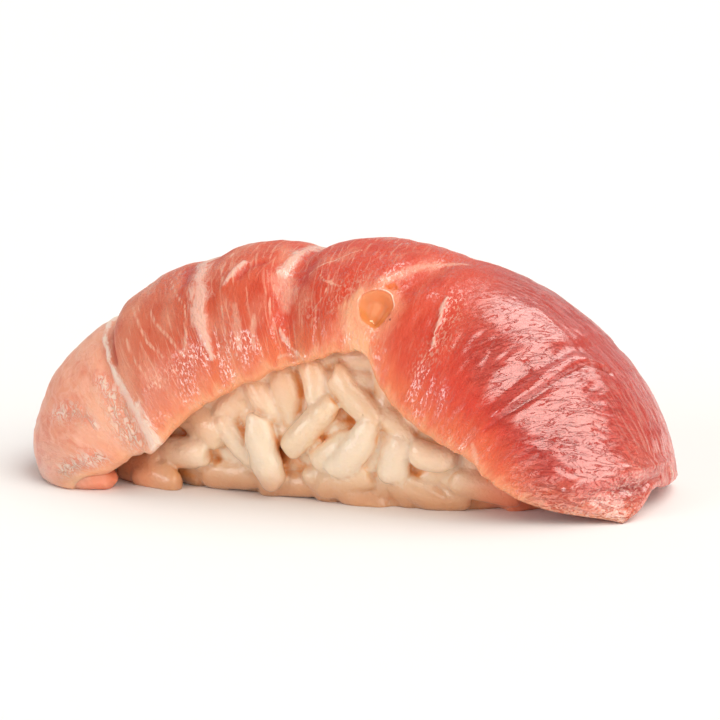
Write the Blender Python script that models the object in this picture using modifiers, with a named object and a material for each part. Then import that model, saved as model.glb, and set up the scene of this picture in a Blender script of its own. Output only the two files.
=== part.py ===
"""Tuna nigiri: a thick slice of raw fatty tuna draped over a hand-pressed block of sushi rice.

The slice is a sheet, thick at the crown and thin at its front edge, that arches over the rice and reaches
the board at both ends. The rice is one solid: a core with the grains that show fused on.
X runs along the nigiri, -Y is its front and Z is up. Sizes are in millimetres, and meshes are in metres.
"""

import math
import random

import bmesh
import bpy
import numpy as np
from mathutils import Matrix, Vector
from mathutils.bvhtree import BVHTree

MM = 0.001
CLEARANCE = 0.35

# The slice's crest, seen from the front, is an arch from hem to hem. A station is an angle of that arch:
# 0 at the left hem, 90 at the crown and 180 at the right hem. Each side has its own pair of powers, for how
# full the arch is along X and along Z.
CROWN_X = 2.9
CROWN_HEIGHT = 25.8
LEFT_REACH = 37.7
RIGHT_REACH = 32.2
LEFT_POWERS = (2.27, 1.92)
RIGHT_POWERS = (1.78, 2.13)
LEFT_HEM_TUCK = 1.8
LEFT_TUCK_HEIGHT = 4.6
RIGHT_HEM_LIFT = 0.9

# Across the slice, the section falls from the crest to each edge.
SECTION_POWER = 2.25
EDGE_ANGLE = math.radians(80)

# The slice's two long edges: station, then x, y and z of the edge there.
FRONT_EDGE = (
    (0, -21.5, -15.5, 0.0),
    (18, -20.3, -15.2, 1.7),
    (42, -17.1, -14.8, 4.7),
    (52, -13.3, -14.3, 7.9),
    (64, -9.1, -14.0, 10.9),
    (82, -0.9, -13.7, 14.7),
    (94, 4.5, -13.6, 16.3),
    (102, 7.1, -13.6, 16.3),
    (108, 8.9, -13.9, 12.9),
    (121, 12.8, -14.3, 9.4),
    (141, 18.7, -14.6, 6.3),
    (155, 21.7, -14.2, 3.6),
    (168, 26.7, -12.8, 1.4),
    (180, 33.5, -9.8, 0.2),
)
BACK_EDGE = (
    (0, -28.4, 11.6, 0.0),
    (36, -23.3, 14.2, 4.6),
    (63, -11.5, 15.2, 9.2),
    (92, 5.3, 15.5, 11.0),
    (124, 18.5, 15.2, 8.6),
    (153, 28.3, 13.6, 3.8),
    (180, 33.1, 10.4, 0.0),
)

# Thickness of the slice by station, and at its two long edges.
THICKNESS = ((0, 3.0), (37, 4.2), (63, 5.0), (100, 5.4), (132, 4.8), (155, 3.8), (180, 2.5))
FRONT_EDGE_THICKNESS = 1.3
BACK_EDGE_THICKNESS = 2.2

# Seams between the muscle flakes: station at the front edge, how far the station has moved at the crest,
# groove depth, half width, and the share of the depth that is left behind the crest.
SEAMS = (
    (42, 0, 1.0, 1.5, 0.9),
    (68, -4, 0.45, 1.6, 1.0),
    (82, 0, 1.3, 2.0, 1.0),
    (103, 8, 0.9, 1.5, 0.2),
    (135, 9, 0.35, 1.2, 0.3),
)
# Flakes that swell between the seams: station, height and half length.
SWELLS = ((20, 1.0, 7.0), (55, 0.4, 6.0), (71, 0.5, 4.0), (95, 0.5, 5.5), (126, 0.45, 9.0))

# The gap torn open between two flakes: station and share of the way to the edge, half sizes and depth.
TEAR_STATION = 103.5
TEAR_ACROSS = -0.72
TEAR_HALF = (1.8, 2.1)
TEAR_DEPTH = 2.4

# The tongue of flesh turned under the left foot: centre and half sizes.
TONGUE_CENTRE = (-23.0, -13.4, 0.9)
TONGUE_HALF = (3.0, 2.4, 1.3)

SLICE_COLUMNS = 18
SLICE_ROW_STEP = 2.4

# The rice core is a superellipsoid that the board cuts off flat.
CORE_CENTRE = (2.0, 0.2, 8.4)
CORE_HALF = (24.0, 10.6, 12.4)
CORE_POWERS = (3.0, 2.5)

# A cooked grain of short rice, and how far one grain's sizes differ from another's.
GRAIN_LENGTH = 7.8
GRAIN_WIDTH = 3.3
GRAIN_DEPTH = 2.7
GRAIN_SPREAD = 0.12

# Large grains that stand out on the front: x, z, lean in degrees, length, and how far the grain's middle is
# outside the core.
FRONT_GRAINS = (
    (-18.4, 3.6, 12, 7.2, 0.6),
    (-16.1, 1.7, -14, 7.4, 0.5),
    (-14.5, 4.1, 4, 7.4, 1.5),
    (-12.1, 7.6, -38, 7.2, 0.9),
    (-8.5, 10.4, 62, 8.2, 0.9),
    (-8.1, 5.9, -48, 7.4, 0.7),
    (-9.3, 1.8, 6, 8.4, 0.5),
    (-2.7, 11.3, -72, 7.8, 0.9),
    (-4.6, 5.3, -79, 8.6, 1.9),
    (-2.3, 1.5, 8, 7.4, 0.4),
    (0.5, 8.2, 49, 8.6, 1.6),
    (0.5, 12.8, -74, 5.6, 0.9),
    (-0.3, 15.0, 8, 6.6, 0.2),
    (3.3, 5.9, 36, 6.4, 1.2),
    (5.4, 11.2, -46, 8.6, 1.4),
    (8.2, 14.0, -58, 7.6, 0.7),
    (5.4, 6.3, 50, 8.2, 1.9),
    (1.3, 1.9, -62, 5.4, 0.8),
    (4.1, 3.0, 15, 7.2, 1.5),
    (5.7, 1.1, -28, 6.2, 1.5),
    (9.2, 9.0, -30, 7.2, 0.7),
    (9.7, 5.4, 78, 6.2, 1.3),
    (11.9, 2.3, -24, 6.8, 1.0),
    (13.7, 6.0, -12, 5.6, 1.7),
    (14.1, 1.0, 24, 6.4, 0.9),
    (18.7, 3.0, -14, 8.2, 1.2),
    (21.9, 1.2, -8, 7.4, 0.7),
)

# Grains that fill the rest of the block: height of each row and grains round it.
FILL_ROWS = ((1.2, 26), (3.6, 25), (6.0, 24), (8.6, 22), (11.2, 20), (13.8, 18))
FILL_SPACING = 2.3
GRAIN_SEED = 11


def clear_scene():
    for obj in list(bpy.data.objects):
        bpy.data.objects.remove(obj)


def make_material(name, colour, roughness):
    material = bpy.data.materials.new(name)
    material.use_nodes = True
    shader = material.node_tree.nodes["Principled BSDF"]
    shader.inputs["Base Color"].default_value = (*colour, 1.0)
    shader.inputs["Roughness"].default_value = roughness
    shader.inputs["Metallic"].default_value = 0.0
    return material


def make_collection(name):
    collection = bpy.data.collections.new(name)
    bpy.context.scene.collection.children.link(collection)
    return collection


def apply_modifier(obj, modifier):
    bpy.context.view_layer.objects.active = obj
    bpy.ops.object.modifier_apply(modifier=modifier.name)


def move_to(obj, collection):
    for owner in list(obj.users_collection):
        owner.objects.unlink(obj)
    collection.objects.link(obj)


def make_cutter(obj, name):
    obj.name = name
    obj.hide_render = True
    obj.display_type = "WIRE"
    move_to(obj, cutters)
    return obj


def boolean(obj, operation, other):
    cut = obj.modifiers.new(operation.lower(), "BOOLEAN")
    cut.operation = operation
    cut.solver = "EXACT"
    if isinstance(other, bpy.types.Collection):
        cut.operand_type = "COLLECTION"
        cut.collection = other
    else:
        cut.object = other
    apply_modifier(obj, cut)


def along(rows, station):
    """The value at a station, on a smooth curve through rows of (station, value)."""
    places = np.array([row[0] for row in rows], float)
    values = np.array([row[1] for row in rows], float)
    slopes = np.gradient(values, places)
    left = np.clip(np.searchsorted(places, station, side="right") - 1, 0, len(places) - 2)
    step = places[left + 1] - places[left]
    share = (station - places[left]) / step
    rise = share * share * (3 - 2 * share)
    bend = slopes[left] * (1 - share) - slopes[left + 1] * share
    level = values[left] * (1 - rise) + values[left + 1] * rise
    return level + step * share * (1 - share) * bend


def crest(station):
    """The crest's x and z at a station."""
    angle = np.radians(station)
    on_left = station < 90
    reach = np.where(on_left, -LEFT_REACH, RIGHT_REACH)
    level = np.where(on_left, 2 / LEFT_POWERS[0], 2 / RIGHT_POWERS[0])
    upright = np.where(on_left, 2 / LEFT_POWERS[1], 2 / RIGHT_POWERS[1])
    foot = np.where(on_left, 0.0, RIGHT_HEM_LIFT)
    x = CROWN_X + reach * np.abs(np.cos(angle)) ** level
    z = foot + (CROWN_HEIGHT - foot) * np.abs(np.sin(angle)) ** upright
    tuck = LEFT_HEM_TUCK * np.clip(1 - z / LEFT_TUCK_HEIGHT, 0, 1) ** 2
    return x + np.where(on_left, tuck, 0), z


def crest_length():
    """Stations in small steps, and the crest's length up to each."""
    station = np.linspace(0, 180, 2001)
    x, z = crest(station)
    steps = np.hypot(np.diff(x), np.diff(z))
    return station, np.concatenate([[0], np.cumsum(steps)])


def length_at(station):
    return np.interp(station, *crest_length())


def row_stations():
    """Stations of the slice's rows: one on each seam, and evenly spaced rows between them."""
    fine, length = crest_length()
    marks = [0.0] + [seam[0] + seam[1] / 2 for seam in SEAMS] + [180.0]
    rows = [0.0]
    for start, end in zip(marks, marks[1:]):
        first, last = length_at(start), length_at(end)
        count = round((last - first) / SLICE_ROW_STEP)
        rows.extend(np.interp(np.linspace(first, last, count + 1)[1:], length, fine))
    return np.array(rows)


def smooth_sheet(station, across):
    """Points of the slice's upper face without flakes: across is -1 at the front edge and 1 at the back."""
    x, z = crest(station)
    angle = np.abs(across) * EDGE_ANGLE
    power = 2 / SECTION_POWER
    out = (np.sin(angle) / math.sin(EDGE_ANGLE)) ** power
    down = (1 - np.cos(angle) ** power) / (1 - math.cos(EDGE_ANGLE) ** power)
    edge = []
    for column in (1, 2, 3):
        front = along([(row[0], row[column]) for row in FRONT_EDGE], station)
        back = along([(row[0], row[column]) for row in BACK_EDGE], station)
        edge.append(np.where(across < 0, front, back))
    point = (x + (edge[0] - x) * down, edge[1] * out, z + (edge[2] - z) * down)
    return np.stack(point, axis=-1)


def sheet_normals(station, across):
    step = 1e-3
    ahead = smooth_sheet(np.clip(station + step, 0, 180), across)
    behind = smooth_sheet(np.clip(station - step, 0, 180), across)
    further = smooth_sheet(station, np.clip(across + step, -1, 1))
    nearer = smooth_sheet(station, np.clip(across - step, -1, 1))
    normals = np.cross(ahead - behind, further - nearer)
    return normals / np.linalg.norm(normals, axis=-1, keepdims=True)


def relief(station, across):
    """How far the flakes swell out of the smooth sheet, and the seams sink into it."""
    place = length_at(station)
    behind = np.clip((across + 0.35) / 0.5, 0, 1)
    height = np.zeros_like(place)
    for seam, drift, depth, width, kept in SEAMS:
        middle = length_at(seam + drift * np.minimum(1 + across, 1) ** 2)
        groove = np.exp(-(((place - middle) / width) ** 2))
        height -= depth * groove * (1 - (1 - kept) * behind)
    for swell, rise, width in SWELLS:
        height += rise * np.exp(-(((place - length_at(swell)) / width) ** 2))
    fade = np.clip((1 - np.abs(across)) / 0.25, 0, 1)
    return height * (0.35 + 0.65 * fade)


def slice_thickness(station, across):
    full = along(THICKNESS, station)
    edge = np.where(across < 0, FRONT_EDGE_THICKNESS, BACK_EDGE_THICKNESS)
    edge = np.minimum(edge, full)
    return edge + (full - edge) * (1 - np.abs(across) ** 2.6)


def build_slice():
    """A grid thickened by Solidify, whose points then go to the sheet's upper and lower faces."""
    stations = row_stations()
    bpy.ops.mesh.primitive_grid_add(
        x_subdivisions=len(stations) - 1, y_subdivisions=SLICE_COLUMNS - 1, size=2
    )
    obj = bpy.context.object
    obj.name = "tuna_slice"
    flat = np.array([vertex.co[:] for vertex in obj.data.vertices])
    thicken = obj.modifiers.new("thickness", "SOLIDIFY")
    thicken.thickness = 0.1
    apply_modifier(obj, thicken)
    row = np.round((flat[:, 0] + 1) / 2 * (len(stations) - 1)).astype(int)
    station, across = stations[row], flat[:, 1]
    smooth = smooth_sheet(station, across)
    normals = sheet_normals(station, across)
    upper = smooth + normals * relief(station, across)[:, None]
    lower = smooth - normals * slice_thickness(station, across)[:, None]
    points = np.concatenate([upper, lower])
    points[:, 2] = np.maximum(points[:, 2], 0.0)
    obj.data.vertices.foreach_set("co", (points * MM).astype(np.float32).ravel())
    obj.data.materials.append(flesh)
    move_to(obj, model)
    return obj


def add_ellipsoid(name, centre, half, turn=None):
    bpy.ops.mesh.primitive_ico_sphere_add(subdivisions=3, radius=MM)
    obj = bpy.context.object
    place = Matrix.Translation(Vector(centre) * MM)
    obj.data.transform(Matrix.Diagonal((*half, 1)))
    if turn:
        obj.data.transform(turn.to_matrix().to_4x4())
    obj.data.transform(place)
    return make_cutter(obj, name)


def tear_cutter():
    """An ellipsoid that sits in the face of the slice, square to it."""
    station, across = np.array([TEAR_STATION]), np.array([TEAR_ACROSS])
    point = smooth_sheet(station, across)[0]
    outward = Vector(sheet_normals(station, across)[0])
    turn = outward.to_track_quat("Z", "Y")
    return add_ellipsoid("tear", point, (*TEAR_HALF, TEAR_DEPTH), turn)


def board_cutter():
    bpy.ops.mesh.primitive_cube_add(size=1, location=(0, 0, -5 * MM), scale=(0.09, 0.05, 0.01))
    return make_cutter(bpy.context.object, "board")


def core_surface(direction):
    """The point of the rice core's surface that lies this way from its centre."""
    level, upright = CORE_POWERS
    ring = (abs(direction[0]) ** level + abs(direction[1]) ** level) ** (1 / level)
    size = (ring**upright + abs(direction[2]) ** upright) ** (1 / upright)
    reach = [part / size * half for part, half in zip(direction, CORE_HALF)]
    return Vector(CORE_CENTRE) + Vector(reach)


def build_core():
    """An icosphere whose points go out to the core's surface."""
    bpy.ops.mesh.primitive_ico_sphere_add(subdivisions=4, radius=1.0)
    obj = bpy.context.object
    obj.name = "rice"
    for vertex in obj.data.vertices:
        vertex.co = core_surface(vertex.co) * MM
    obj.data.materials.append(cooked_rice)
    move_to(obj, model)
    return obj


def surface_at(x, y, z):
    """Where the line out from the core's axis towards this y meets its surface at x and z, and its facing."""
    level, upright = CORE_POWERS
    wide = (x - CORE_CENTRE[0]) / CORE_HALF[0]
    high = (z - CORE_CENTRE[2]) / CORE_HALF[2]
    ring = (1 - min(abs(high), 0.95) ** upright) ** (1 / upright)
    deep = max(ring**level - min(abs(wide), ring) ** level, 0.03) ** (1 / level)
    facing = Vector(
        (
            math.copysign(abs(wide) ** (level - 1) / CORE_HALF[0], wide),
            math.copysign(deep ** (level - 1) / CORE_HALF[1], y),
            math.copysign(abs(high) ** (upright - 1) / CORE_HALF[2], high),
        )
    )
    point = Vector((x, CORE_CENTRE[1] + math.copysign(deep * CORE_HALF[1], y), z))
    return point, facing.normalized()


def has_room(middle, axis, length, slice_tree):
    """Whether a grain lies clear of the slice, tried at five places along it."""
    for end in (-0.4, -0.2, 0.0, 0.2, 0.4):
        spot = (middle + axis * end * length) * MM
        face, normal, _, gap = slice_tree.find_nearest(spot)
        girth = GRAIN_DEPTH / 2 * math.sqrt(1 - (end / 0.56) ** 2)
        if gap < (girth + CLEARANCE) * MM or (spot - face).dot(normal) < 0:
            return False
    return True


def seat(start, facing, axis, length, proud, slice_tree):
    """A grain's middle as far out of the core as asked, or as far as the slice leaves room."""
    seated = None
    for step in range(10):
        middle = start + facing * (proud - 0.3 * step)
        if has_room(middle, axis, length, slice_tree):
            seated = middle
            break
    return seated


def build_grain(number, middle, axis, facing, length, draw):
    """One grain: a faceted ellipsoid with full sides, a little bent, its flat side against the core."""
    shape = bmesh.new()
    bmesh.ops.create_uvsphere(shape, u_segments=6, v_segments=4, radius=1.0)
    width = GRAIN_WIDTH * draw.uniform(1 - GRAIN_SPREAD, 1 + GRAIN_SPREAD)
    depth = GRAIN_DEPTH * draw.uniform(1 - GRAIN_SPREAD, 1 + GRAIN_SPREAD)
    bend = draw.uniform(-0.5, 0.5)
    for vertex in shape.verts:
        end = math.copysign(abs(vertex.co.z) ** 0.75, vertex.co.z)
        side = vertex.co.x * 1.1 * width / 2 + bend * end**2
        vertex.co = Vector((end * length / 2, side, vertex.co.y * 1.1 * depth / 2))
    side = facing.cross(axis).normalized()
    turn = Matrix((axis, side, axis.cross(side))).transposed()
    shape.transform(Matrix.Scale(MM, 4) @ Matrix.Translation(middle) @ turn.to_4x4())
    mesh = bpy.data.meshes.new(f"grain_{number}")
    shape.to_mesh(mesh)
    shape.free()
    mesh.materials.append(cooked_rice)
    loose_grains.objects.link(bpy.data.objects.new(mesh.name, mesh))


def laid_axis(facing, lean):
    """The direction of a grain that lies on the surface and leans by this angle from level."""
    level = Vector((0, 0, 1)).cross(facing).normalized()
    if level.x < 0:
        level = -level
    rise = facing.cross(level)
    if rise.z < 0:
        rise = -rise
    return level * math.cos(lean) + rise * math.sin(lean)


def wanted_grains(draw):
    """Start, facing, lean, length and how proud, for the front grains and then for rows round the block."""
    for x, z, lean, length, proud in FRONT_GRAINS:
        start, facing = surface_at(x, -1, z)
        yield start, facing, math.radians(lean), length, proud
    for height, around in FILL_ROWS:
        for spot in range(around):
            swing = 2 * math.pi * (spot + draw.uniform(0.2, 0.8)) / around
            flat = Vector((math.cos(swing), math.sin(swing), 0))
            rim = core_surface(flat)
            start, facing = surface_at(rim.x * 0.97, flat.y, height + draw.uniform(-0.8, 0.8))
            lean = draw.uniform(-math.pi / 2, math.pi / 2)
            length = GRAIN_LENGTH * draw.uniform(1 - GRAIN_SPREAD, 1 + GRAIN_SPREAD)
            yield start, facing, lean, length, draw.uniform(0.0, 0.9)


def build_grains(slice_tree):
    draw = random.Random(GRAIN_SEED)
    placed = []
    for start, facing, lean, length, proud in wanted_grains(draw):
        axis = laid_axis(facing, lean)
        middle = seat(start, facing, axis, length, proud, slice_tree)
        if middle is None or middle.z < 0.3:
            continue
        crowded = any((middle - other).length < FILL_SPACING for other in placed)
        if crowded and len(placed) >= len(FRONT_GRAINS):
            continue
        build_grain(len(placed), middle, axis, facing, length, draw)
        placed.append(middle)


def keep_outer_shell(obj):
    """Fills sealed hollows and drops loose scraps: every island of the mesh goes but the largest."""
    shape = bmesh.new()
    shape.from_mesh(obj.data)
    islands = []
    left = set(shape.verts)
    while left:
        island = {left.pop()}
        edge = list(island)
        while edge:
            for link in edge.pop().link_edges:
                for other in link.verts:
                    if other in left:
                        left.discard(other)
                        island.add(other)
                        edge.append(other)
        islands.append(island)
    islands.sort(key=len)
    scraps = [vertex for island in islands[:-1] for vertex in island]
    bmesh.ops.delete(shape, geom=scraps, context="VERTS")
    shape.to_mesh(obj.data)
    shape.free()


def slice_room(tuna):
    """The slice grown by the clearance, to cut from the rice so that the two don't touch."""
    room = tuna.copy()
    room.data = tuna.data.copy()
    make_cutter(room, "slice_room")
    grow = room.modifiers.new("grow", "DISPLACE")
    grow.strength = CLEARANCE * MM
    grow.mid_level = 0.0
    apply_modifier(room, grow)
    return room


clear_scene()
model = make_collection("tuna_nigiri")
cutters = make_collection("cutters")
loose_grains = make_collection("loose_grains")
flesh = make_material("raw tuna", (0.72, 0.18, 0.11), 0.3)
cooked_rice = make_material("cooked rice", (0.84, 0.68, 0.5), 0.45)
board = board_cutter()

tuna = build_slice()
room = slice_room(tuna)
tree = BVHTree.FromObject(tuna, bpy.context.evaluated_depsgraph_get())
boolean(tuna, "DIFFERENCE", tear_cutter())
boolean(tuna, "UNION", add_ellipsoid("tongue", TONGUE_CENTRE, TONGUE_HALF))
boolean(tuna, "DIFFERENCE", board)
keep_outer_shell(tuna)

rice = build_core()
build_grains(tree)
boolean(rice, "UNION", loose_grains)
boolean(rice, "DIFFERENCE", board)
boolean(rice, "DIFFERENCE", room)
keep_outer_shell(rice)
for grain in list(loose_grains.objects):
    bpy.data.objects.remove(grain)
bpy.data.collections.remove(loose_grains)
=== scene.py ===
"""Tuna nigiri: a thick slice of raw fatty tuna draped over a hand-pressed block of sushi rice.

X runs along the nigiri towards its deep red end, -Y is the front where the rice shows, and Z is up.
Sizes are in millimetres, turned to metres by MM where a mesh is made.
"""

import math
import random

import bpy
import numpy as np
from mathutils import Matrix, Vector, noise
from mathutils.bvhtree import BVHTree
from mathutils.kdtree import KDTree


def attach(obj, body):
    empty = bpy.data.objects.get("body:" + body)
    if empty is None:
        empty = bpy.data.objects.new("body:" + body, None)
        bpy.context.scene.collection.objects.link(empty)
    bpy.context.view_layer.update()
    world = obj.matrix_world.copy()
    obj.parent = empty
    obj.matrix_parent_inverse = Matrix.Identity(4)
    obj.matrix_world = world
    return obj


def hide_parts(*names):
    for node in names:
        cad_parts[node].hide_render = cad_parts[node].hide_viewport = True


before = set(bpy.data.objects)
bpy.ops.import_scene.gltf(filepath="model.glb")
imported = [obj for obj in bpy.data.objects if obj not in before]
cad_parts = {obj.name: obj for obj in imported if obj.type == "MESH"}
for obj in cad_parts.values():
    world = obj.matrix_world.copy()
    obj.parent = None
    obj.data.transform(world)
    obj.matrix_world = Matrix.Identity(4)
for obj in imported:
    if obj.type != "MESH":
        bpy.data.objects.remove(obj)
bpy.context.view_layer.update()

bpy.ops.object.select_all(action="DESELECT")
MM = 0.001

# The camera stands a little to the right of the front and looks slightly down, through a long lens.
CAMERA_AZIMUTH = math.radians(21)
CAMERA_ELEVATION = math.radians(10.5)
CAMERA_DISTANCE = 350 * MM
CAMERA_TARGET = Vector((1.4, 0.0, 13.1)) * MM
PIXELS_PER_MM = 9.4
FRAME_PIXELS = 720
SENSOR = 36

towards_camera = Vector(
    (
        math.sin(CAMERA_AZIMUTH) * math.cos(CAMERA_ELEVATION),
        -math.cos(CAMERA_AZIMUTH) * math.cos(CAMERA_ELEVATION),
        math.sin(CAMERA_ELEVATION),
    )
)
bpy.ops.object.camera_add(location=CAMERA_TARGET + towards_camera * CAMERA_DISTANCE)
camera = bpy.context.object
camera.name = "camera"
camera.rotation_euler = (-towards_camera).to_track_quat("-Z", "Y").to_euler()
camera.data.sensor_width = SENSOR
camera.data.lens = SENSOR * CAMERA_DISTANCE / (FRAME_PIXELS / PIXELS_PER_MM * MM)
camera.data.clip_start = 0.01
bpy.context.scene.camera = camera


# Soft studio light: white all round, two broad lamps at the right, one low and one high, whose reflections
# make the wet shine, a smaller one at the front left for glints on grains and fibres, and a weak one behind.
WORLD_STRENGTH = 0.21
WHITE = (1.0, 1.0, 1.0)

# Each lamp's direction from the food, the width in degrees that it fills, its strength and its colour.
LAMPS = {
    "right_softbox": ((0.76, -0.40, 0.51), 62, 2.05, (1.0, 0.955, 0.88)),
    "upper_softbox": ((0.35, 0.35, 0.87), 52, 1.5, (1.0, 0.97, 0.92)),
    "front_left_softbox": ((-0.52, -0.80, 0.28), 34, 0.95, WHITE),
    "back_softbox": ((-0.3, 0.8, 0.5), 90, 0.6, WHITE),
}
world = bpy.data.worlds.new("daylight")
world.use_nodes = True
world.node_tree.nodes["Background"].inputs["Color"].default_value = (*WHITE, 1.0)
world.node_tree.nodes["Background"].inputs["Strength"].default_value = WORLD_STRENGTH
bpy.context.scene.world = world
bpy.context.scene.view_settings.view_transform = "Standard"
for name, (direction, width, strength, tint) in LAMPS.items():
    towards = Vector(direction).normalized()
    bpy.ops.object.light_add(type="SUN", location=CAMERA_TARGET + towards * CAMERA_DISTANCE)
    light = bpy.context.object
    light.name = name
    light.rotation_euler = (-towards).to_track_quat("-Z", "Y").to_euler()
    light.data.angle = math.radians(width)
    light.data.energy = strength
    light.data.color = tint


def colour(hex_code):
    """An sRGB hex value as linear red, green, blue and alpha."""
    parts = [int(hex_code[start : start + 2], 16) / 255 for start in (1, 3, 5)]
    linear = [part / 12.92 if part <= 0.04045 else ((part + 0.055) / 1.055) ** 2.4 for part in parts]
    return (*linear, 1.0)


def fill_inputs(material, node, inputs):
    """Fills a node's inputs with values or with other nodes' outputs."""
    for key, value in inputs.items():
        if isinstance(value, bpy.types.NodeSocket):
            material.node_tree.links.new(value, node.inputs[key])
        else:
            node.inputs[key].default_value = value


def add_node(material, kind, inputs=None, **settings):
    """Adds a node, sets its properties and fills its inputs."""
    node = material.node_tree.nodes.new("ShaderNode" + kind)
    for key, value in settings.items():
        setattr(node, key, value)
    fill_inputs(material, node, inputs or {})
    return node


def new_material(name):
    """An empty material with its shader, ready for nodes."""
    material = bpy.data.materials.new(name)
    material.use_nodes = True
    return material, material.node_tree.nodes["Principled BSDF"]


# A plain matt white board, far larger than the view.
bpy.ops.mesh.primitive_plane_add(size=4.0, location=(0, 0, 0))
floor = bpy.context.object
floor.name = "floor"
white_board, shader = new_material("matt_white_board")
fill_inputs(white_board, shader, {"Base Color": colour("#fbfaf9"), "Roughness": 0.9})
floor.data.materials.append(white_board)


# The slice of tuna: one piece of raw belly cut across its flakes, 5 mm thick at the crown and thin at its
# front edge. It lies draped over the rice and its ends hang to the board.
# A station is an angle of the arch seen from the front: 0 at the left hem, 180 at the right hem.
CROWN_X = 2.9
CROWN_HEIGHT = 25.8
LEFT_REACH = 37.7
RIGHT_REACH = 32.2
LEFT_POWERS = (2.27, 1.92)
RIGHT_POWERS = (1.78, 2.13)
LEFT_HEM_TUCK = 1.8
LEFT_TUCK_HEIGHT = 4.6
RIGHT_HEM_LIFT = 0.9
SECTION_POWER = 2.25
EDGE_ANGLE = math.radians(80)

# The slice's two long edges: station, then x, y and z.
FRONT_EDGE = (
    (0, -25.4, -15.5, 0.1),
    (5, -24.0, -15.5, 1.4),
    (14, -21.0, -15.3, 2.5),
    (27, -18.6, -15.1, 4.1),
    (36, -17.2, -15.0, 4.5),
    (42, -16.1, -14.9, 4.8),
    (52, -13.3, -14.3, 7.9),
    (64, -9.1, -14.0, 10.9),
    (82, -0.9, -13.7, 14.7),
    (94, 4.5, -13.6, 16.3),
    (102, 7.1, -13.6, 16.3),
    (108, 8.9, -13.9, 12.9),
    (121, 12.8, -14.3, 9.4),
    (141, 18.7, -14.6, 6.3),
    (155, 21.7, -14.2, 3.6),
    (168, 26.7, -12.8, 1.4),
    (180, 33.5, -9.8, 0.2),
)
BACK_EDGE = (
    (0, -28.4, 11.6, 0.0),
    (36, -23.3, 14.2, 4.6),
    (63, -11.5, 15.2, 9.2),
    (92, 5.3, 15.5, 11.0),
    (124, 18.5, 15.2, 8.6),
    (153, 28.3, 13.6, 3.8),
    (180, 33.1, 10.4, 0.0),
)
THICKNESS = ((0, 3.0), (37, 4.2), (63, 5.0), (100, 5.4), (132, 4.8), (155, 3.8), (180, 2.5))
FRONT_EDGE_THICKNESS = 1.3
BACK_EDGE_THICKNESS = 2.2
EDGE_ROUNDING = 0.5

# Seams between the muscle flakes: station at the front edge, how far the station has moved at the crest,
# groove depth, half width, and the share of the depth that is left behind the crest.
SEAMS = (
    (42, 0, 1.0, 1.5, 0.9),
    (68, -4, 0.45, 1.6, 1.0),
    (82, 0, 1.3, 2.0, 1.0),
    (103, 8, 0.9, 1.5, 0.2),
    (135, 9, 0.35, 1.2, 0.3),
)
SWELLS = ((20, 1.0, 7.0), (55, 0.4, 6.0), (71, 0.5, 4.0), (95, 0.5, 5.5), (126, 0.45, 9.0))

SLICE_ROWS = 330
SLICE_COLUMNS = 150


def along(rows, station):
    """The value at a station, on a smooth curve through rows of (station, value)."""
    places = np.array([row[0] for row in rows], float)
    values = np.array([row[1] for row in rows], float)
    slopes = np.gradient(values, places)
    left = np.clip(np.searchsorted(places, station, side="right") - 1, 0, len(places) - 2)
    step = places[left + 1] - places[left]
    share = (station - places[left]) / step
    rise = share * share * (3 - 2 * share)
    bend = slopes[left] * (1 - share) - slopes[left + 1] * share
    level = values[left] * (1 - rise) + values[left + 1] * rise
    return level + step * share * (1 - share) * bend


def crest(station):
    """The crest's x and z at a station."""
    angle = np.radians(station)
    on_left = station < 90
    reach = np.where(on_left, -LEFT_REACH, RIGHT_REACH)
    level = np.where(on_left, 2 / LEFT_POWERS[0], 2 / RIGHT_POWERS[0])
    upright = np.where(on_left, 2 / LEFT_POWERS[1], 2 / RIGHT_POWERS[1])
    foot = np.where(on_left, 0.0, RIGHT_HEM_LIFT)
    x = CROWN_X + reach * np.abs(np.cos(angle)) ** level
    z = foot + (CROWN_HEIGHT - foot) * np.abs(np.sin(angle)) ** upright
    tuck = LEFT_HEM_TUCK * np.clip(1 - z / LEFT_TUCK_HEIGHT, 0, 1) ** 2
    return x + np.where(on_left, tuck, 0), z


CREST_STATIONS = np.linspace(0, 180, 2001)
crest_x, crest_z = crest(CREST_STATIONS)
crest_steps = np.hypot(np.diff(crest_x), np.diff(crest_z))
CREST_LENGTHS = np.concatenate([[0], np.cumsum(crest_steps)])
SLICE_LENGTH = CREST_LENGTHS[-1]


def length_at(station):
    return np.interp(station, CREST_STATIONS, CREST_LENGTHS)


def smooth_sheet(station, across):
    """Points of the slice's upper face without flakes: across is -1 at the front edge and 1 at the back."""
    x, z = crest(station)
    angle = np.abs(across) * EDGE_ANGLE
    power = 2 / SECTION_POWER
    out = (np.sin(angle) / math.sin(EDGE_ANGLE)) ** power
    down = (1 - np.cos(angle) ** power) / (1 - math.cos(EDGE_ANGLE) ** power)
    edge = []
    for column in (1, 2, 3):
        front = along([(row[0], row[column]) for row in FRONT_EDGE], station)
        back = along([(row[0], row[column]) for row in BACK_EDGE], station)
        edge.append(np.where(across < 0, front, back))
    point = (x + (edge[0] - x) * down, edge[1] * out, z + (edge[2] - z) * down)
    return np.stack(point, axis=-1)


def sheet_normals(station, across):
    step = 1e-3
    ahead = smooth_sheet(np.clip(station + step, 0, 180), across)
    behind = smooth_sheet(np.clip(station - step, 0, 180), across)
    further = smooth_sheet(station, np.clip(across + step, -1, 1))
    nearer = smooth_sheet(station, np.clip(across - step, -1, 1))
    normals = np.cross(ahead - behind, further - nearer)
    return normals / np.linalg.norm(normals, axis=-1, keepdims=True)


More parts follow.
